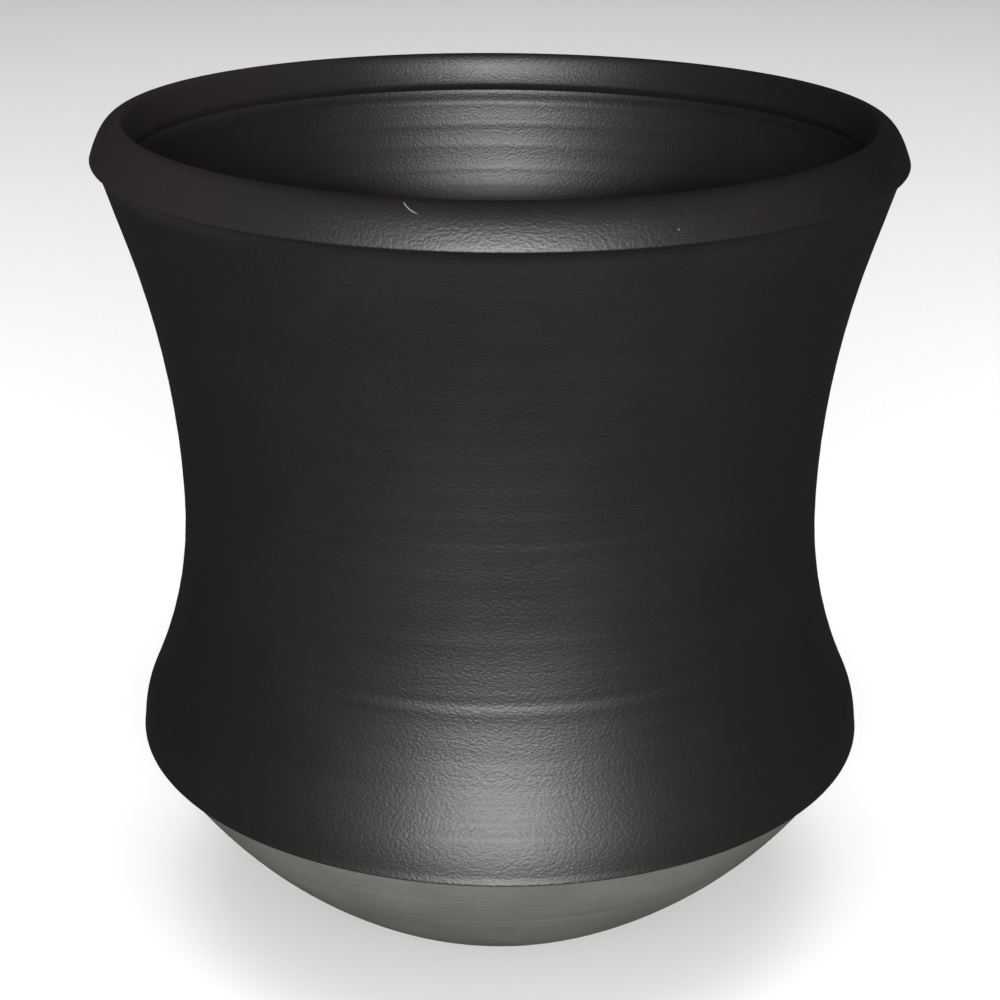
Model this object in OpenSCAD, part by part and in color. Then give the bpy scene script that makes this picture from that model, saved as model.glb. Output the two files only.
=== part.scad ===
// Hand-built black clay planter, made as a potter builds it: a foot slab, a bowl
// raised on it, three wall courses and a rolled rim.
// Each piece meets the next on a bevelled seam with a V tongue in the lower
// piece and a matching groove in the upper one.
// The origin is the centre of the foot's underside. Z points up.

/* [Rim] */
// Outer diameter of the rolled rim, the widest part of the pot
rim_d = 300; // [296:1:316]
// Height of the crisp lower edge of the roll, its widest line
roll_z = 298; // [296.5:0.5:301]
// Overall height, to the top of the lip
pot_h = 311; // [308:0.5:318]
// Diameter of the crown of the lip
lip_d = 284; // [278.6:0.2:286]
// Diameter of the mouth at the inner edge of the lip
mouth_d = 270; // [265:0.2:272]
// Height of the inner edge of the lip
mouth_z = 306.8; // [305.4:0.2:307.8]

/* [Wall] */
// Thickness of the wall
wall = 9; // [7:0.5:11]
// Diameter of the wall where the roll sits on it
neck_d = 292; // [287.4:0.2:293.4]
// Height of the crease between the wall and the chamfer under the roll
neck_z = 292.4; // [290.8:0.2:293.8]
// Slope of the upper wall, away from upright
flare_angle = 17.5; // [16.5:0.5:19]
// Diameter at the waist
waist_d = 244.2; // [234:0.2:252]
// Height of the waist
waist_z = 165; // [160:1:172]
// Diameter of the belly
belly_d = 285.4; // [282:0.2:290]
// Height of the belly's widest line
belly_z = 73; // [72:0.5:76]
// Radius of the turn from the hollow wall to the belly's widest line
belly_turn = 40; // [34:1:46]

/* [Base] */
// Height of the carved edge where the belly ends
edge_z = 71.5; // [70:0.5:72]
// Height of the thin groove under the carved edge
groove_h = 1; // [0.6:0.1:1.6]
// Depth of the groove
groove_depth = 2.4; // [1.5:0.1:3]
// Radius of the bowl's outside curve
bowl_curve = 200; // [170:2:250]
// Diameter of the flat foot
foot_d = 140; // [130:2:146]
// Thickness of the floor
floor_t = 10; // [8:0.5:12]
// Diameter of the flat part of the floor inside
floor_d = 134; // [122:2:138]

/* [Seams] */
// Height of the seam between the foot slab and the bowl
foot_seam = 4; // [3:0.5:5]
// Height of the seam above the belly
belly_seam = 130; // [120:1:142]
// Height of the seam above the waist
wall_seam = 190; // [180:1:240]
// Rise of a seam's bevel, from the outside to the inside of the wall
bevel = 4; // [2:0.5:5]
// Height of the V tongue
tongue = 2.4; // [1:0.2:3]

/* [Hidden] */
$fn = 180;

burnished = [0.10, 0.10, 0.095];
raw_clay = [0.36, 0.36, 0.34];

rim_r = rim_d / 2;
neck_r = neck_d / 2;
waist_r = waist_d / 2;
belly_r = belly_d / 2;
foot_r = foot_d / 2;
floor_r = floor_d / 2;
outline_step = 6;       // height between the points of a curved outline
tongue_from = 0.34;     // where the tongue starts and ends across the wall
tongue_to = 0.66;

// Wall above the waist: an arc that leaves the waist upright, then a straight cone.
flare_rise = neck_z - waist_z;
flare_run = neck_r - waist_r;
flare_arc = (flare_rise * tan(flare_angle) - flare_run)
          / (sin(flare_angle) * tan(flare_angle) - 1 + cos(flare_angle));
flare_end = flare_arc * sin(flare_angle);
function flare_r(up) = up <= flare_end
    ? waist_r + flare_arc - sqrt(flare_arc ^ 2 - up ^ 2)
    : neck_r - (flare_rise - up) * tan(flare_angle);

// Wall below the waist: a hollow arc that runs tangent into the turn of the belly.
hip_run = belly_r - waist_r;
hip_rise = waist_z - belly_z;
hip_arc = (hip_run ^ 2 + hip_rise ^ 2) / (2 * hip_run) - belly_turn;
turn_top = belly_z + hip_rise * belly_turn / (hip_arc + belly_turn);
function hip_r(z) = waist_r + hip_arc - sqrt(hip_arc ^ 2 - (waist_z - z) ^ 2);
function turn_r(z) = belly_r - belly_turn + sqrt(belly_turn ^ 2 - (z - belly_z) ^ 2);

// Radius at height z on the bulging arc from [r0, z0] up to [r1, z1] with the given curve.
function arc_r(z, r0, z0, r1, z1, curve) =
    let (
        half = norm([r1 - r0, z1 - z0]) / 2,
        back = sqrt(curve ^ 2 - half ^ 2),
        mid = [(r0 + r1) / 2, (z0 + z1) / 2],
        centre = mid + [-(z1 - z0), r1 - r0] / (2 * half) * back
    )
    centre[0] + sqrt(curve ^ 2 - (z - centre[1]) ^ 2);

edge_r = turn_r(edge_z);
bowl_top_z = edge_z - groove_h;
bowl_top_r = edge_r - groove_h;
function bowl_r(z) = arc_r(z, foot_r, 0, bowl_top_r, bowl_top_z, bowl_curve);

// The whole outside below the roll, and the whole inside above the floor.
function outer_r(z) =
    z < edge_z ? bowl_r(z)
    : z < turn_top ? turn_r(z)
    : z < waist_z ? hip_r(z)
    : flare_r(z - waist_z);
function inner_r(z) = z < belly_z
    ? arc_r(z, floor_r, floor_t, belly_r - wall, belly_z, bowl_curve - wall)
    : outer_r(z) - wall;

// Points of a seam from start, outside, to end, inside, with the tongue standing up.
function seam(start, end) =
    let (along = end - start)
    [
        start,
        start + along * tongue_from,
        start + along / 2 + [0, tongue],
        start + along * tongue_to,
        end
    ];
function wall_seam_at(z) = seam([outer_r(z), z], [inner_r(z + bevel), z + bevel]);
function reversed(points) = [for (i = [len(points) - 1:-1:0]) points[i]];

// Points strictly between two heights, evenly spaced, on the outside or the inside.
function heights(low, high) =
    let (count = ceil((high - low) / outline_step))
    [for (i = [1:1:count - 1]) low + (high - low) * i / count];
function outside(low, high) = [for (z = heights(low, high)) [outer_r(z), z]];
function inside(high, low) = [for (z = reversed(heights(low, high))) [inner_r(z), z]];

foot_joint = seam([bowl_r(foot_seam), foot_seam], [floor_r, floor_t]);
edge_joint = seam([edge_r - groove_depth, edge_z - groove_h / 2],
                  [inner_r(edge_z + bevel), edge_z + bevel]);

module ring(points) {
    rotate_extrude() polygon(points);
}

// A course of wall between the seam at low and the seam at high.
module course(low, high) {
    ring(concat(
        reversed(wall_seam_at(low)),
        outside(low, high),
        wall_seam_at(high),
        inside(high + bevel, low + bevel)
    ));
}

module foot_slab() {
    color(raw_clay) ring(concat([[0, 0], [foot_r, 0]], foot_joint, [[0, floor_t]]));
}

module base_bowl() {
    color(raw_clay) ring(concat(
        reversed(foot_joint),
        outside(foot_seam, bowl_top_z),
        [[bowl_top_r, bowl_top_z]],
        edge_joint,
        inside(edge_z + bevel, floor_t)
    ));
}

module belly_course() {
    color(burnished) ring(concat(
        reversed(edge_joint),
        [[edge_r, edge_z]],
        outside(edge_z, turn_top),
        [[outer_r(turn_top), turn_top]],
        outside(turn_top, belly_seam),
        wall_seam_at(belly_seam),
        inside(belly_seam + bevel, edge_z + bevel)
    ));
}

module lower_wall() {
    color(burnished) course(belly_seam, wall_seam);
}

module upper_wall() {
    color(burnished) course(wall_seam, neck_z);
}

// The roll: a chamfer out to its lower edge, a quarter oval up to the lip and a tight one down
// to the mouth.
module rolled_rim() {
    lip_r = lip_d / 2;
    mouth_r = mouth_d / 2;
    turns = 8;
    color(burnished) ring(concat(
        reversed(wall_seam_at(neck_z)),
        [for (a = [0:90 / turns:90])
            [lip_r + (rim_r - lip_r) * cos(a), roll_z + (pot_h - roll_z) * sin(a)]],
        [for (a = [90 / turns:90 / turns:90])
            [lip_r - (lip_r - mouth_r) * sin(a), mouth_z + (pot_h - mouth_z) * cos(a)]]
    ));
}

foot_slab();
base_bowl();
belly_course();
lower_wall();
upper_wall();
rolled_rim();
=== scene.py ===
import math
import random

import bmesh
import bpy
import numpy as np
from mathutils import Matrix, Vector


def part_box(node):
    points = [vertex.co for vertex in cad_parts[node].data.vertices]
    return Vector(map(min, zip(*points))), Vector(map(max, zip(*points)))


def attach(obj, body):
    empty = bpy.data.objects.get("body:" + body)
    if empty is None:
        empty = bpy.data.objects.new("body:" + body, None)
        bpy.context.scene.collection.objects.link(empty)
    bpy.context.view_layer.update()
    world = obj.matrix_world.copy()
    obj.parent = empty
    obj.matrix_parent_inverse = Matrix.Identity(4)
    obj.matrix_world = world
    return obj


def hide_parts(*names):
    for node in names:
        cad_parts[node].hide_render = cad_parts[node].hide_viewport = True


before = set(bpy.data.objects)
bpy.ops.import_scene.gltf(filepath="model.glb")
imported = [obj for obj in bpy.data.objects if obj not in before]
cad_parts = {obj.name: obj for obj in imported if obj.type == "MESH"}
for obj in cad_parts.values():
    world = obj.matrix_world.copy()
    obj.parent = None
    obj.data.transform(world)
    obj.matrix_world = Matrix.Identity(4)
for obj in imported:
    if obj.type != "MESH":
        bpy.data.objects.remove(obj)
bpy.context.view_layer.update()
print("frame loaded:", ", ".join(sorted(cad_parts)))

# heights and radii that the frame gives
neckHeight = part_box("rolled_rim")[0][2]
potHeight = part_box("rolled_rim")[1][2]
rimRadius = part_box("rolled_rim")[1][0]
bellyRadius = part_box("belly_course")[1][0]
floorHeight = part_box("foot_slab")[1][2]
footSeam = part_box("base_bowl")[0][2]
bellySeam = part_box("lower_wall")[0][2]
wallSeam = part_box("upper_wall")[0][2]

studio = {
    "cameraPlace": (0, -0.790, 0.4617),
    "cameraPitch": 20.949,                   # degrees below level
    "cameraLens": 77.40,
    "sensorWidth": 36,
    "floorSize": 14.0,
    "floorColour": (0.82, 0.82, 0.81, 1),
    "floorRoughness": 0.9,
    "floorShine": 0.1,
    "backdropColour": (0.86, 0.86, 0.86, 1),
    "lowColour": (0.050, 0.050, 0.050, 1),   # what the burnished clay mirrors, below and above level
    "highColour": (0.015, 0.015, 0.015, 1),
    "levelBand": 0.15,                       # how far either side of level the two blend
    "fillColour": (0.50, 0.50, 0.50, 1),     # soft light from all round
    "keyPlace": (0.01, -1.60, 0.625),        # low window in front, wide and shallow
    "keyAim": (0, 0, 0.16),
    "keySize": (0.95, 0.07),
    "keyPower": 44,
    "topPlace": (0, 0.1, 2.4),               # keeps the floor pale and leaves no shine on the clay
    "topAim": (0, 0, 0.2),
    "topSize": (2.4, 2.4),
    "topPower": 45,
}


def makeCamera():
    bpy.ops.object.camera_add(location=studio["cameraPlace"])
    camera = bpy.context.object
    camera.name = "camera"
    camera.rotation_euler = (math.radians(90 - studio["cameraPitch"]), 0, 0)
    camera.data.lens = studio["cameraLens"]
    camera.data.sensor_width = studio["sensorWidth"]
    bpy.context.scene.camera = camera


def makeLight(name, place, target, size, power):
    bpy.ops.object.light_add(type="AREA", location=place)
    lamp = bpy.context.object
    lamp.name = name
    lamp.data.shape = "RECTANGLE"
    lamp.data.size = size[0]
    lamp.data.size_y = size[1]
    lamp.data.energy = power
    aim = Vector(target) - Vector(place)
    lamp.rotation_euler = aim.to_track_quat("-Z", "Y").to_euler()
    lamp.visible_camera = False
    return lamp


makeCamera()
makeLight("key", studio["keyPlace"], studio["keyAim"], studio["keySize"], studio["keyPower"])
topLight = makeLight("top", studio["topPlace"], studio["topAim"], studio["topSize"], studio["topPower"])
topLight.visible_glossy = False
bpy.context.scene.view_settings.view_transform = "Standard"
print("camera and lights placed")


class Signal:
    # a node's output, which can be added, taken away and multiplied like a number
    def __init__(self, tree, socket):
        self.tree = tree
        self.socket = socket

    def math(self, operation, first, second):
        return self.tree.node("ShaderNodeMath", {"operation": operation}, {0: first, 1: second})

    def __add__(self, other):
        return self.math("ADD", self, other)

    def __radd__(self, other):
        return self.math("ADD", other, self)

    def __sub__(self, other):
        return self.math("SUBTRACT", self, other)

    def __rsub__(self, other):
        return self.math("SUBTRACT", other, self)

    def __mul__(self, other):
        return self.math("MULTIPLY", self, other)

    def __rmul__(self, other):
        return self.math("MULTIPLY", other, self)

    def size(self):
        return self.tree.node("ShaderNodeMath", {"operation": "ABSOLUTE"}, {0: self})


class Tree:
    # the nodes of one material or world
    def __init__(self, owner):
        owner.use_nodes = True
        self.owner = owner
        self.nodes = owner.node_tree.nodes
        self.links = owner.node_tree.links
        self.nodes.clear()

    def node(self, kind, settings=None, sockets=None, output=0):
        made = self.nodes.new(kind)
        for name, value in (settings or {}).items():
            setattr(made, name, value)
        for name, value in (sockets or {}).items():
            if isinstance(value, Signal):
                self.links.new(value.socket, made.inputs[name])
            else:
                made.inputs[name].default_value = value
        if not made.outputs:
            return None
        return Signal(self, made.outputs[output])

    def split(self, vector):
        parts = self.node("ShaderNodeSeparateXYZ", {}, {0: vector}).socket.node
        return [Signal(self, output) for output in parts.outputs]

    def mixColour(self, factor, first, second):
        sockets = {0: factor, 6: first, 7: second}
        return self.node("ShaderNodeMix", {"data_type": "RGBA"}, sockets, 2)

    def stretched(self, place, stretch):
        return self.node("ShaderNodeVectorMath", {"operation": "MULTIPLY"}, {0: place, 1: stretch})

    def noise(self, place, scale, detail=2.0, roughness=0.5):
        sockets = {"Vector": place, "Scale": scale, "Detail": detail, "Roughness": roughness}
        return self.node("ShaderNodeTexNoise", {}, sockets)

    def ramp(self, value, low, high, first=0.0, second=1.0):
        settings = {"interpolation_type": "SMOOTHSTEP"}
        sockets = {"Value": value, "From Min": low, "From Max": high, "To Min": first, "To Max": second}
        return self.node("ShaderNodeMapRange", settings, sockets)

    def strokes(self, place, length, height):
        # fine lines that run round the pot
        drawnOut = self.stretched(place, (1 / length, 1 / length, 1 / height))
        return self.noise(drawnOut, 1.0, 3.0, 0.6)

    def spots(self, place, kind):
        # scattered round spots; the chance drawn for each leaves many of them out
        sockets = {"Vector": place, "Scale": 1 / kind["spacing"]}
        scattered = self.node("ShaderNodeTexVoronoi", {}, sockets)
        drawn = Signal(self, scattered.socket.node.outputs["Color"])
        chance = self.node("ShaderNodeSeparateColor", {}, {0: drawn})
        radius = kind["radius"] / kind["spacing"]
        disc = self.ramp(scattered, radius * kind["core"], radius, 1.0, 0.0)
        return disc * self.ramp(chance, kind["noneBelow"], kind["allAbove"])

    def surface(self, sockets):
        made = self.node("ShaderNodeBsdfPrincipled", {}, sockets)
        self.node("ShaderNodeOutputMaterial", {}, {"Surface": made})
        return self.owner


def makeRoom():
    world = bpy.data.worlds.new("studioRoom")
    bpy.context.scene.world = world
    tree = Tree(world)
    rays = tree.node("ShaderNodeLightPath").socket.node.outputs
    seen = Signal(tree, rays["Is Camera Ray"])
    spread = Signal(tree, rays["Is Diffuse Ray"])
    height = tree.split(tree.node("ShaderNodeTexCoord", output=0))[2]
    above = tree.ramp(height, -studio["levelBand"], studio["levelBand"])
    colour = tree.mixColour(above, studio["lowColour"], studio["highColour"])
    colour = tree.mixColour(spread, colour, studio["fillColour"])
    colour = tree.mixColour(seen, colour, studio["backdropColour"])
    room = tree.node("ShaderNodeBackground", {}, {"Color": colour, "Strength": 1.0})
    tree.node("ShaderNodeOutputWorld", {}, {"Surface": room})


def makeFloor():
    bpy.ops.mesh.primitive_plane_add(size=studio["floorSize"], location=(0, 0, 0))
    floor = bpy.context.object
    floor.name = "studioFloor"
    tree = Tree(bpy.data.materials.new("palePaper"))
    floor.data.materials.append(tree.surface({
        "Base Color": studio["floorColour"],
        "Roughness": studio["floorRoughness"],
        "Specular IOR Level": studio["floorShine"],
    }))
    floor.visible_glossy = False             # the burnished wall doesn't mirror the floor


makeRoom()
makeFloor()
print("room and floor made")

burnish = {
    "black": (0.0062, 0.0060, 0.0056, 1),
    "warmBlack": (0.0078, 0.0066, 0.0058, 1),
    "warmFrom": 0.42,               # where the clouds turn the black warm
    "warmFull": 0.66,
    "plumBlack": (0.0165, 0.0125, 0.0140, 1),     # plum tint, lighter than the black, on one side of the rim
    "tintFull": -0.145,             # it fades across the rim between these
    "tintGone": -0.03,
    "tintBelowNeck": 0.002,         # and comes in up the roll between these
    "tintAboveNeck": 0.005,
    "tintStrength": 0.9,
    "roughness": 0.445,
    "streakRoughness": 0.10,        # how much the burnishing strokes change the gloss
    "cloudRoughness": 0.08,
    "shine": 0.5,
    "refraction": 1.5,
    "cloudSize": 0.045,
    "grainSize": 0.00115,           # pebbled grain
    "grainSquash": 1.4,             # grains are wider than they are high
    "pitsPerGrain": 2.7,
    "streakHeight": 0.0016,
    "streakLength": 0.17,
    "reliefDepth": 0.000168,
    "grainShare": 0.75,             # what each adds to the relief
    "pitShare": 0.2,
    "streakShare": 0.22,
    "speckColour": (0.16, 0.155, 0.145, 1),
    "speckStrength": 0.8,
    "specks": {"spacing": 0.020, "radius": 0.00035, "core": 0.6, "noneBelow": 0.55, "allAbove": 0.6},
    "scratchColour": (0.13, 0.125, 0.12, 1),
    "scratchStart": (-0.0298, 0.3108),      # a light scratch across the near lip, x and z
    "scratchEnd": (-0.0246, 0.3078),
    "scratchWidth": 0.00022,
    "scratchCore": 0.5,
    "scratchBow": 60,               # how much it bends
    "scratchFadeIn": 0.1,           # shares of its length
    "scratchFadeOut": 0.6,
    "nearSide": -0.02,
}


def drawScratch(tree, across, depth, height):
    # near its line, between its ends and on the near side only
    startX, startZ = burnish["scratchStart"]
    endX, endZ = burnish["scratchEnd"]
    length = math.hypot(endX - startX, endZ - startZ)
    alongX = (endX - startX) / length
    alongZ = (endZ - startZ) / length
    along = (across - startX) * alongX + (height - startZ) * alongZ
    aside = (across - startX) * alongZ - (height - startZ) * alongX
    bow = along * (length - along) * burnish["scratchBow"]
    width = burnish["scratchWidth"]
    line = tree.ramp((aside - bow).size(), width * burnish["scratchCore"], width, 1.0, 0.0)
    fadeIn = tree.ramp(along, 0.0, length * burnish["scratchFadeIn"])
    fadeOut = tree.ramp(along, length * burnish["scratchFadeOut"], length, 1.0, 0.0)
    nearSide = tree.ramp(depth, burnish["nearSide"], 0.0, 1.0, 0.0)
    return line * (fadeIn * fadeOut) * nearSide


def finishBurnished():
    tree = Tree(bpy.data.materials.new("burnishedClay"))
    place = tree.node("ShaderNodeTexCoord", output=3)
    across, depth, height = tree.split(place)

    # pebbled grain, finer pits in it, and the strokes of the burnishing stone
    squashed = tree.stretched(place, (1, 1, burnish["grainSquash"]))
    grain = tree.noise(squashed, 1 / burnish["grainSize"], 1.5, 0.45)
    pits = tree.noise(squashed, burnish["pitsPerGrain"] / burnish["grainSize"], 2.0, 0.5)
    streaks = tree.strokes(place, burnish["streakLength"], burnish["streakHeight"])
    cloud = tree.noise(place, 1 / burnish["cloudSize"], 3.0, 0.55)
    relief = grain * burnish["grainShare"] + pits * burnish["pitShare"] + streaks * burnish["streakShare"]
    bump = tree.node("ShaderNodeBump", {}, {
        "Strength": 1.0, "Distance": burnish["reliefDepth"], "Height": relief})

    warm = tree.ramp(cloud, burnish["warmFrom"], burnish["warmFull"])
    colour = tree.mixColour(warm, burnish["black"], burnish["warmBlack"])
    tinted = tree.ramp(across, burnish["tintFull"], burnish["tintGone"], 1.0, 0.0)
    tintLow = neckHeight - burnish["tintBelowNeck"]
    onRim = tree.ramp(height, tintLow, neckHeight + burnish["tintAboveNeck"])
    colour = tree.mixColour(tinted * onRim * burnish["tintStrength"], colour, burnish["plumBlack"])
    specks = tree.spots(place, burnish["specks"])      # pale grit, few and far apart
    colour = tree.mixColour(specks * burnish["speckStrength"], colour, burnish["speckColour"])
    scratch = drawScratch(tree, across, depth, height)
    colour = tree.mixColour(scratch, colour, burnish["scratchColour"])

    rough = burnish["roughness"] + (streaks - 0.5) * burnish["streakRoughness"]
    rough = rough + (cloud - 0.5) * burnish["cloudRoughness"]
    return tree.surface({
        "Base Color": colour, "Roughness": rough, "Normal": bump,
        "Specular IOR Level": burnish["shine"], "IOR": burnish["refraction"]})


bareClay = {
    "grey": (0.092, 0.093, 0.085, 1),
    "darkGrey": (0.072, 0.072, 0.066, 1),
    "darkBelow": 0.35,              # where scrapes and clouds turn the one into the other
    "lightAbove": 0.65,
    "roughness": 0.62,
    "sandRoughness": 0.1,
    "shine": 0.35,
    "scrapeHeight": 0.0011,         # fine lines left by scraping round the base
    "scrapeLength": 0.2,
    "cloudSize": 0.033,
    "sandSize": 0.00053,
    "reliefDepth": 0.00008,
    "scrapeShare": 0.6,             # what each adds to the relief
    "sandShare": 0.25,
    "pitShare": 2.0,
    "pitColour": (0.03, 0.03, 0.028, 1),
    "pitStrength": 0.7,
    "pits": {"spacing": 0.012, "radius": 0.0004, "core": 0.5, "noneBelow": 0.4, "allAbove": 0.5},
}


def finishBare():
    tree = Tree(bpy.data.materials.new("bareClay"))
    place = tree.node("ShaderNodeTexCoord", output=3)
    scrapes = tree.strokes(place, bareClay["scrapeLength"], bareClay["scrapeHeight"])
    cloud = tree.noise(place, 1 / bareClay["cloudSize"], 3.0, 0.55)
    sand = tree.noise(place, 1 / bareClay["sandSize"], 2.0, 0.6)
    pits = tree.spots(place, bareClay["pits"])
    relief = scrapes * bareClay["scrapeShare"] + sand * bareClay["sandShare"] - pits * bareClay["pitShare"]
    bump = tree.node("ShaderNodeBump", {}, {
        "Strength": 1.0, "Distance": bareClay["reliefDepth"], "Height": relief})
    tone = tree.ramp(scrapes * 0.5 + cloud * 0.5, bareClay["darkBelow"], bareClay["lightAbove"])
    colour = tree.mixColour(tone, bareClay["darkGrey"], bareClay["grey"])
    colour = tree.mixColour(pits * bareClay["pitStrength"], colour, bareClay["pitColour"])
    rough = bareClay["roughness"] + (sand - 0.5) * bareClay["sandRoughness"]
    return tree.surface({
        "Base Color": colour, "Roughness": rough, "Normal": bump,
        "Specular IOR Level": bareClay["shine"]})


burnishedClay = finishBurnished()
rawClay = finishBare()
print("finishes made")

# the outline that all six pieces share
outline = {
    "wall": 0.009,
    "flareAngle": math.radians(17.5),  # slope of the upper wall
    "neckRadius": 0.1460,            # wall where the roll sits on it
    "waistRadius": 0.1226,
    "waistHeight": 0.165,
    "bellyHeight": 0.073,
    "bellyTurn": 0.040,              # radius of the turn from the hollow wall to the widest line
    "edgeHeight": 0.0715,            # sharp carved edge
    "edgeRound": 0.0005,
    "grooveHeight": 0.0017,          # groove cut under the carved edge
    "grooveInset": 0.0032,           # how far in the bare bowl starts under it
    "grooveDepth": 0.0050,
    "neckSwell": 0.0016,             # the wall thickens inside, just under the roll
    "bowlCurve": 0.200,
    "footRadius": 0.070,
    "floorRadius": 0.067,
    "bevel": 0.004,                  # rise of a seam across the wall
    "tongue": 0.0024,
    "tongueFrom": 0.34,              # where it starts and ends across the wall
    "tongueTo": 0.66,
    "step": 0.001,                   # height between the points of the outline
    "cornerSteps": 5,
    "swellFrom": 0.002,              # the swell starts this far under the neck
}


def smooth(value, low, high):
    t = np.clip((value - low) / (high - low), 0, 1)
    return t * t * (3 - 2 * t)


def arcRadius(z, r0, z0, r1, z1, curve):
    # bulging arc of that curve from (r0, z0) up to (r1, z1)
    half = math.hypot(r1 - r0, z1 - z0) / 2
    back = math.sqrt(curve ** 2 - half ** 2)
    centreR = (r0 + r1) / 2 - (z1 - z0) / (2 * half) * back
    centreZ = (z0 + z1) / 2 + (r1 - r0) / (2 * half) * back
    return centreR + np.sqrt(np.maximum(curve ** 2 - (z - centreZ) ** 2, 0))


def flareRadius(z):
    # a hollow arc that leaves the waist upright, then a straight cone up to the neck
    angle = outline["flareAngle"]
    rise = neckHeight - outline["waistHeight"]
    run = outline["neckRadius"] - outline["waistRadius"]
    lean = math.sin(angle) * math.tan(angle) - 1 + math.cos(angle)
    arc = (rise * math.tan(angle) - run) / lean
    up = z - outline["waistHeight"]
    onArc = outline["waistRadius"] + arc - np.sqrt(np.maximum(arc ** 2 - up ** 2, 0))
    onCone = outline["neckRadius"] - (rise - up) * math.tan(angle)
    return np.where(up <= arc * math.sin(angle), onArc, onCone)


hipRun = bellyRadius - outline["waistRadius"]
hipRise = outline["waistHeight"] - outline["bellyHeight"]
hipArc = (hipRun ** 2 + hipRise ** 2) / (2 * hipRun) - outline["bellyTurn"]
turnTop = outline["bellyHeight"] + hipRise * outline["bellyTurn"] / (hipArc + outline["bellyTurn"])


def turnRadius(z):
    turn = outline["bellyTurn"]
    return bellyRadius - turn + np.sqrt(np.maximum(turn ** 2 - (z - outline["bellyHeight"]) ** 2, 0))


def hipRadius(z):
    down = outline["waistHeight"] - z
    return outline["waistRadius"] + hipArc - np.sqrt(np.maximum(hipArc ** 2 - down ** 2, 0))


edgeRadius = float(turnRadius(outline["edgeHeight"]))
bowlTop = (edgeRadius - outline["grooveInset"], outline["edgeHeight"] - outline["grooveHeight"])


def outerRadius(z):
    bowl = arcRadius(z, outline["footRadius"], 0, bowlTop[0], bowlTop[1], outline["bowlCurve"])
    places = [z < outline["edgeHeight"], z < turnTop, z < outline["waistHeight"]]
    return np.select(places, [bowl, turnRadius(z), hipRadius(z)], flareRadius(z))


def innerRadius(z):
    wall = outline["wall"]
    bowl = arcRadius(z, outline["floorRadius"], floorHeight, bellyRadius - wall,
                     outline["bellyHeight"], outline["bowlCurve"] - wall)
    swell = outline["neckSwell"] * smooth(z, neckHeight - outline["swellFrom"], neckHeight + outline["bevel"])
    return np.where(z < outline["bellyHeight"], bowl, outerRadius(z) - wall - swell)


def seam(start, end):
    # across the wall from the outside, with the tongue standing in the middle
    def along(share, up=0.0):
        r = start[0] + (end[0] - start[0]) * share
        return (r, start[1] + (end[1] - start[1]) * share + up)
    middle = along(0.5, outline["tongue"])
    return [start, along(outline["tongueFrom"]), middle, along(outline["tongueTo"]), end]


def wallSeamAt(z):
    top = z + outline["bevel"]
    return seam((float(outerRadius(z)), z), (float(innerRadius(top)), top))


def roundCorner(before, corner, after, size):
    # a corner worn round, starting and ending that far from it
    def towards(end):
        share = size / math.hypot(end[0] - corner[0], end[1] - corner[1])
        return (corner[0] + (end[0] - corner[0]) * share, corner[1] + (end[1] - corner[1]) * share)
    start = towards(before)
    stop = towards(after)
    points = []
    for i in range(outline["cornerSteps"] + 1):
        t = i / outline["cornerSteps"]
        r, z = (
            (1 - t) ** 2 * a + 2 * t * (1 - t) * b + t * t * c
            for a, b, c in zip(start, corner, stop)
        )
        points.append((r, z))
    return points


def between(low, high, radius):
    # points strictly between two heights
    count = math.ceil((high - low) / outline["step"])
    heights = [low + (high - low) * i / count for i in range(1, count)]
    return [(float(radius(z)), z) for z in heights]


def course(low, high):
    bevel = outline["bevel"]
    section = wallSeamAt(low)[::-1]
    section += between(low, high, outerRadius)
    section += wallSeamAt(high)
    section += between(low + bevel, high + bevel, innerRadius)[::-1]
    return section


# each piece is drawn in section, turned, then pressed by hand
wheel = {
    "turns": 288,                   # divisions round the pot
    "sharp": math.radians(32),      # corners sharper than this stay crisp
    "startSize": 0.001,
    "mergeWithin": 0.00001,
}


def turnPiece(name, section, closed=True):
    bpy.ops.object.select_all(action="DESELECT")
    bpy.ops.mesh.primitive_plane_add(size=wheel["startSize"], location=(section[0][0], 0, section[0][1]))
    piece = bpy.context.object
    piece.name = name
    bpy.ops.object.mode_set(mode="EDIT")
    bpy.ops.mesh.merge(type="CENTER")
    for (r0, z0), (r1, z1) in zip(section, section[1:]):
        bpy.ops.mesh.extrude_vertices_move(TRANSFORM_OT_translate={"value": (r1 - r0, 0, z1 - z0)})
    if closed:
        mesh = bmesh.from_edit_mesh(piece.data)
        for vertex in mesh.verts:
            vertex.select = len(vertex.link_edges) == 1
        mesh.select_flush_mode()
        bmesh.update_edit_mesh(piece.data)
        bpy.ops.mesh.edge_face_add()
    bpy.ops.mesh.select_all(action="SELECT")
    bpy.ops.mesh.spin(steps=wheel["turns"], angle=2 * math.pi, center=(0, 0, 0), axis=(0, 0, 1))
    bpy.ops.mesh.select_all(action="SELECT")
    bpy.ops.mesh.remove_doubles(threshold=wheel["mergeWithin"])
    bpy.ops.mesh.normals_make_consistent(inside=False)
    bpy.ops.object.mode_set(mode="OBJECT")
    bpy.ops.object.transform_apply(location=True, rotation=True, scale=True)
    return piece


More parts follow.
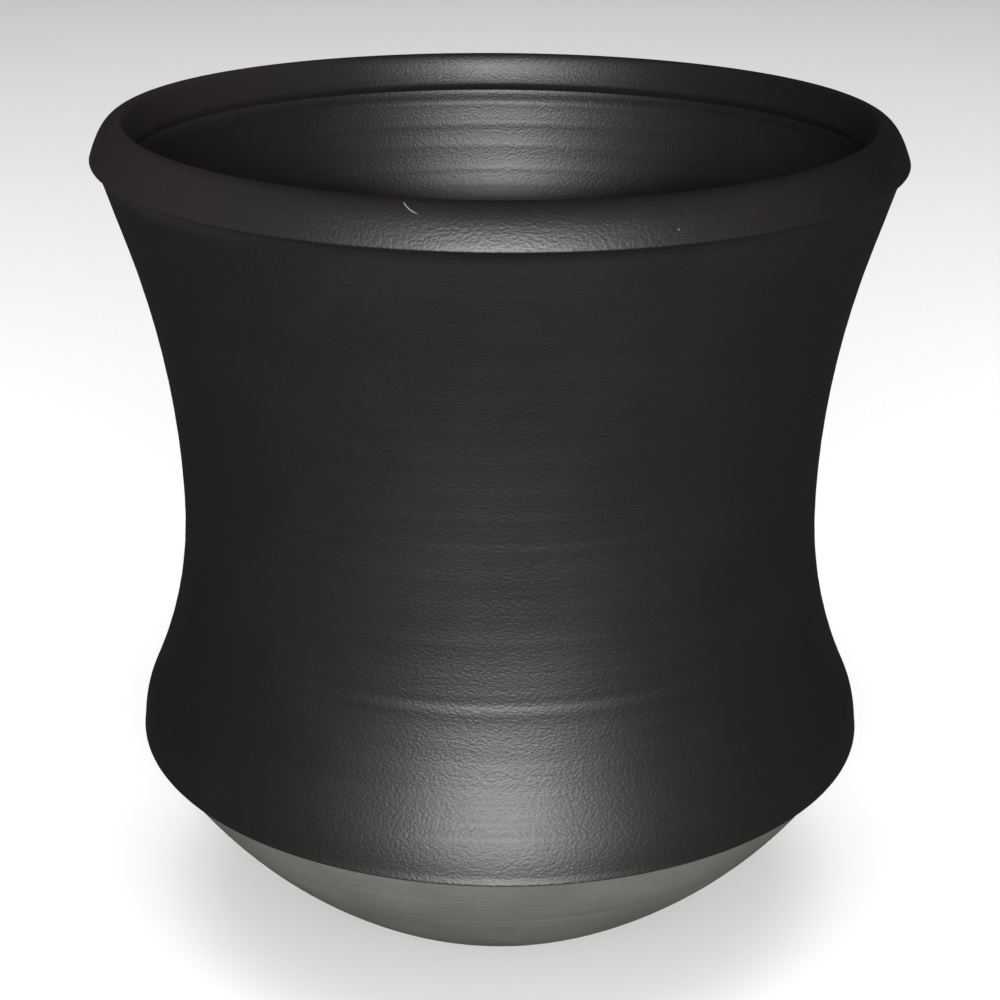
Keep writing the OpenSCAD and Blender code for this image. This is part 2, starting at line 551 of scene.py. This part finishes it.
# what a hand leaves: none of the circles is quite level, round or even
hand = {
    "lean": 0.0068,                 # the circles dip towards +X by this much for each metre across
    "leanFrom": 0.004,              # height where the dip starts
    "leanFull": 0.060,
    "droop": 0.0006,                # the rim dips in front and behind, and rises at the sides
    "droopFrom": 0.16,
    "wobble": 0.00022,              # how far the wall is out of round
    "wobbleFrom": 0.02,
    "wobbleFull": 0.10,
    "wobbleTwist": 3,
    "wobbleSeed": 31,
    "frontFocus": 3,                # the higher, the narrower the part that is pulled out in front
    "frontFlare": 0.0030,           # how far the belly is pulled out there
    "flareFrom": 0.01,
    "flareTop": 0.093,
    "edgeLift": 0.0009,             # and how far its carved edge rises
    "liftFrom": 0.02,
    "liftFade": 0.05,
    "edgeLip": 0.0004,              # burr thrown up along the carved edge
    "edgeLipHeight": 0.0016,
    "edgeLipFrom": 0.0001,
    "ragged": 0.0006,               # how unevenly the groove is cut
    "raggedSeed": 57,
    "raggedFrom": 0.008,            # depths under the carved edge
    "raggedFull": 0.001,
    "raggedStop": 0.0009,
}
waves = {
    "phase": 6.28,                  # a wave starts anywhere in one turn
    "weakest": 0.4,
    "calm": 1.6,                    # brings their sum back to about 1
    "cuts": (3, 7, 12, 19, 31, 47, 72),
    "weakestCut": 0.5,
    "cutMiddle": 0.35,
    "cutCalm": 5,
    "deepestCut": 1.2,
}


def waver(angle, draw, count=5):
    # a smooth closed curve round the pot, between about -1 and 1
    total = 0
    for k in range(1, count + 1):
        strength = draw.uniform(waves["weakest"], 1.0)
        total = total + strength * np.sin(k * angle + draw.uniform(0, waves["phase"])) / math.sqrt(k)
    return total / waves["calm"]


def raggedLine(angle, draw):
    # an uneven cut, between 0 and about 1
    total = 0
    for k in waves["cuts"]:
        strength = draw.uniform(waves["weakestCut"], 1.0)
        total = total + strength * np.sin(k * angle + draw.uniform(0, waves["phase"]))
    return np.clip(waves["cutMiddle"] + total / waves["cutCalm"], 0, waves["deepestCut"])


# finger rings, by their heights: low ridges that waver in height and fade in and out
rings = {
    "weakest": 0.6,
    "strongest": 1.1,
    "steady": 0.75,
    "fading": 0.35,
    "rollGap": 0.001,               # the outside ones stop at the roll and at the carved edge
    "rollOverlap": 0.0005,
    "edgeGap": 0.006,
    "insideFrom": 0.03,             # the inside ones come in between these heights
    "insideFull": 0.08,
    "lipGap": 0.004,
}
outerMarks = {
    "seed": 11,
    "rings": (0.0851, 0.0952, 0.1085, 0.1180, 0.1400, 0.1536, 0.1642, 0.1768, 0.1988,
              0.2087, 0.2206, 0.2314, 0.2412, 0.2519, 0.2655, 0.2802),
    "depth": 0.00006,
    "width": 0.0028,
    "waver": 0.0007,
}
throatGrooves = {                     # finger grooves that show in the mouth
    "seed": 41,
    "rings": (0.2576, 0.2637, 0.2735, 0.2821, 0.2905),
    "depth": 0.00013,
    "width": 0.0008,
    "waver": 0.0003,
}
innerMarks = {
    "seed": 23,
    "rings": (0.090, 0.100, 0.112, 0.121, 0.133, 0.142, 0.153, 0.165, 0.174, 0.186, 0.195, 0.207, 0.219,
              0.228, 0.240, 0.2504, 0.2607, 0.2688, 0.2778, 0.2877),
    "depth": 0.00020,
    "width": 0.0030,
    "waver": 0.0006,
}


def ringRelief(z, angle, marks):
    draw = random.Random(marks["seed"])
    relief = np.zeros_like(z)
    for height in marks["rings"]:
        middle = height + marks["waver"] * waver(angle, draw)
        strength = marks["depth"] * draw.uniform(rings["weakest"], rings["strongest"])
        strength = strength * (rings["steady"] + rings["fading"] * waver(angle, draw))
        relief += strength * np.exp(-((z - middle) / marks["width"]) ** 2)
    return relief


# joints smoothed over by hand: a ridge with a hollow just above it
ledges = {
    "bellyDepth": 0.00012,
    "bellySeed": 3,
    "wallDepth": 0.00007,
    "wallSeed": 4,
    "waver": 0.0007,
    "steady": 0.85,
    "fading": 0.3,
    "ridgeBelow": 0.0020,
    "ridgeWidth": 0.0022,
    "hollowAbove": 0.0014,
    "hollowWidth": 0.0016,
    "behind": 0.35,                 # how strong they are behind; in front they are full
}


def ledgeRelief(z, angle, front, height, depth, seed):
    draw = random.Random(seed)
    middle = height + ledges["waver"] * waver(angle, draw)
    size = depth * (ledges["steady"] + ledges["fading"] * waver(angle, draw))
    ridge = np.exp(-((z - middle + ledges["ridgeBelow"]) / ledges["ridgeWidth"]) ** 2)
    hollow = np.exp(-((z - middle - ledges["hollowAbove"]) / ledges["hollowWidth"]) ** 2)
    return size * (ridge - hollow) * (ledges["behind"] + (1 - ledges["behind"]) * front)


def acrossWall(r, z):
    # 1 on the outside of the wall, -1 on the inside
    outside = outerRadius(np.clip(z, outline["step"], neckHeight))
    inside = innerRadius(np.clip(z, floorHeight, neckHeight))
    return np.clip((2 * r - outside - inside) / np.maximum(outside - inside, outline["step"]), -1, 1)


def fingerMarks(z, angle, front, across):
    belowRoll = 1 - smooth(z, neckHeight - rings["rollGap"], neckHeight + rings["rollOverlap"])
    aboveEdge = smooth(z, outline["edgeHeight"], outline["edgeHeight"] + rings["edgeGap"])
    outer = ringRelief(z, angle, outerMarks)
    outer += ledgeRelief(z, angle, front, bellySeam, ledges["bellyDepth"], ledges["bellySeed"])
    outer += ledgeRelief(z, angle, front, wallSeam, ledges["wallDepth"], ledges["wallSeed"])
    inner = ringRelief(z, angle, innerMarks) * smooth(z, rings["insideFrom"], rings["insideFull"])
    inner -= ringRelief(z, angle, throatGrooves)
    marks = np.maximum(across, 0) * outer * belowRoll * aboveEdge
    marks -= np.maximum(-across, 0) * inner * (z < potHeight - rings["lipGap"])
    return marks


def outwards(z, angle, front, across):
    # how far each point goes away from the axis
    edge = outline["edgeHeight"]
    move = fingerMarks(z, angle, front, across)
    twisted = angle + hand["wobbleTwist"] * z
    outOfRound = waver(twisted, random.Random(hand["wobbleSeed"]), 3)
    move += hand["wobble"] * smooth(z, hand["wobbleFrom"], hand["wobbleFull"]) * outOfRound
    pulled = np.clip((hand["flareTop"] - z) / (hand["flareTop"] - edge), 0, 1) ** 2
    pulled = pulled * smooth(z, hand["flareFrom"], edge)
    move += hand["frontFlare"] * front ** hand["frontFocus"] * pulled
    burr = np.exp(-(np.maximum(z - edge, 0) / hand["edgeLipHeight"]) ** 2)
    burr = burr * (z > edge - hand["edgeLipFrom"])
    move += hand["edgeLip"] * burr * (across > 0.9)
    return move


def downwards(x, z, angle, front, across):
    # how far each point sinks
    edge = outline["edgeHeight"]
    dip = hand["lean"] * x * smooth(z, hand["leanFrom"], hand["leanFull"])
    dip = dip + hand["droop"] * -np.cos(2 * angle) * smooth(z, hand["droopFrom"], neckHeight)
    lift = hand["edgeLift"] * front ** hand["frontFocus"] * smooth(z, hand["liftFrom"], edge)
    dip = dip - lift * (1 - smooth(z, edge, edge + hand["liftFade"]))
    bowlLip = (across > 0.6) * smooth(z, edge - hand["raggedFrom"], edge - hand["raggedFull"])
    bowlLip = bowlLip * (z < edge - hand["raggedStop"])
    return dip + hand["ragged"] * raggedLine(angle, random.Random(hand["raggedSeed"])) * bowlLip


def pressByHand(piece):
    flat = np.empty(len(piece.data.vertices) * 3)
    piece.data.vertices.foreach_get("co", flat)
    x, y, z = flat.reshape(-1, 3).T
    r = np.hypot(x, y)
    angle = np.arctan2(y, x)
    front = np.maximum(-np.sin(angle), 0)
    across = acrossWall(r, z)
    reach = (r + outwards(z, angle, front, across)) / np.maximum(r, 1e-6)
    sunk = z - downwards(x, z, angle, front, across)
    piece.data.vertices.foreach_set("co", np.stack([x * reach, y * reach, sunk], axis=1).ravel())
    piece.data.update()


def finishPiece(piece, node, material):
    pressByHand(piece)
    bpy.ops.object.select_all(action="DESELECT")
    piece.select_set(True)
    bpy.context.view_layer.objects.active = piece
    bpy.ops.object.shade_smooth_by_angle(angle=wheel["sharp"])
    piece.data.materials.append(material)
    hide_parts(node)
    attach(piece, "root")
    print(piece.name, "made,", len(piece.data.polygons), "faces")


footJoint = seam((float(outerRadius(footSeam)), footSeam), (outline["floorRadius"], floorHeight))
edgeInside = outline["edgeHeight"] + outline["bevel"]
edgeJoint = seam((edgeRadius - outline["grooveDepth"], outline["edgeHeight"] - outline["grooveHeight"] / 2),
                 (float(innerRadius(edgeInside)), edgeInside))


def makeFootSlab():
    radius = outline["footRadius"]
    rings = 16
    under = [(radius * i / rings, 0) for i in range(rings + 1)]
    top = [(outline["floorRadius"] * i / rings, floorHeight) for i in range(rings)][::-1]
    section = under + between(0, footSeam, outerRadius) + footJoint + top
    piece = turnPiece("footSlab", section, closed=False)
    finishPiece(piece, "foot_slab", rawClay)


def makeBaseBowl():
    section = footJoint[::-1]
    section += between(footSeam, bowlTop[1], outerRadius)
    section += [bowlTop]
    section += edgeJoint
    section += between(floorHeight, edgeInside, innerRadius)[::-1]
    piece = turnPiece("baseBowl", section)
    finishPiece(piece, "base_bowl", rawClay)


def makeBellyCourse():
    wall = between(outline["edgeHeight"], bellySeam, outerRadius)
    section = edgeJoint[::-1]
    section += roundCorner(section[-1], (edgeRadius, outline["edgeHeight"]), wall[0], outline["edgeRound"])
    section += wall
    section += wallSeamAt(bellySeam)
    section += between(edgeInside, bellySeam + outline["bevel"], innerRadius)[::-1]
    piece = turnPiece("bellyCourse", section)
    finishPiece(piece, "belly_course", burnishedClay)


def makeLowerWall():
    piece = turnPiece("lowerWall", course(bellySeam, wallSeam))
    finishPiece(piece, "lower_wall", burnishedClay)


def makeUpperWall():
    piece = turnPiece("upperWall", course(wallSeam, neckHeight))
    finishPiece(piece, "upper_wall", burnishedClay)


roll = {
    "lowerEdge": 0.2979,            # crisp lower edge of the roll, its widest line
    "edgeRound": 0.0006,
    "undercut": 0.0040,             # how far up the wall's slope carries on under the roll
    "lipRadius": 0.1385,            # crown of the lip
    "crownHeight": 0.3117,
    "fall": 2.6,                    # how the face falls away from the crown: 1 is straight, 2 a parabola
    "throatRadius": 0.1353,
    "throatHeight": 0.2998,
    "cove": 0.0014,                 # rise of the hollow under the lip, inside
    "crownReach": 0.6,              # how far in the crown stays level, as a share of the lip
    "throatRise": 0.005,            # how far up the throat stays upright
    "undercutSteps": 10,
    "faceSteps": 40,
    "faceCrowding": 1.5,            # the face's points lie closer towards the crown
    "lipSteps": 24,
    "coveSteps": 8,
}


def rollFace(share):
    # from the crown, share 0, out and down to the lower edge, share 1
    r = roll["lipRadius"] + (rimRadius - roll["lipRadius"]) * share
    left = 1 - share ** roll["fall"]
    return (r, roll["lowerEdge"] + (roll["crownHeight"] - roll["lowerEdge"]) * left)


def bentLine(handles, steps):
    # points of the smooth curve that three or four handles shape, without its two ends
    points = []
    for i in range(1, steps):
        row = [np.array(handle) for handle in handles]
        while len(row) > 1:
            row = [a + (b - a) * i / steps for a, b in zip(row, row[1:])]
        points.append((float(row[0][0]), float(row[0][1])))
    return points


def makeRolledRim():
    lowerEdge = (rimRadius, roll["lowerEdge"])
    neck = (outline["neckRadius"], neckHeight)
    rise = roll["undercut"]
    follow = (neck[0] + rise * math.tan(outline["flareAngle"]), neck[1] + rise)
    steps = roll["faceSteps"]
    face = [rollFace((i / steps) ** roll["faceCrowding"]) for i in range(steps - 2, -1, -1)]
    crown = face[-1]
    throat = (roll["throatRadius"], roll["throatHeight"])
    seamEnd = wallSeamAt(neckHeight)[-1]
    # from the neck: the undercut, the crisp edge, the face and the crown
    section = wallSeamAt(neckHeight)[::-1]
    section += bentLine((neck, follow, lowerEdge), roll["undercutSteps"])
    section += roundCorner(section[-1], lowerEdge, face[0], roll["edgeRound"])
    section += face
    # over the lip, down to the narrowest line of the mouth, and out to the wall
    level = (crown[0] - (crown[0] - throat[0]) * roll["crownReach"], crown[1])
    upright = (throat[0], throat[1] + roll["throatRise"])
    under = (throat[0], throat[1] - roll["cove"])
    section += bentLine((crown, level, upright, throat), roll["lipSteps"])
    section.append(throat)
    section += bentLine((throat, under, seamEnd), roll["coveSteps"])
    piece = turnPiece("rolledRim", section)
    finishPiece(piece, "rolled_rim", burnishedClay)


makeFootSlab()
makeBaseBowl()
makeBellyCourse()
makeLowerWall()
makeUpperWall()
makeRolledRim()
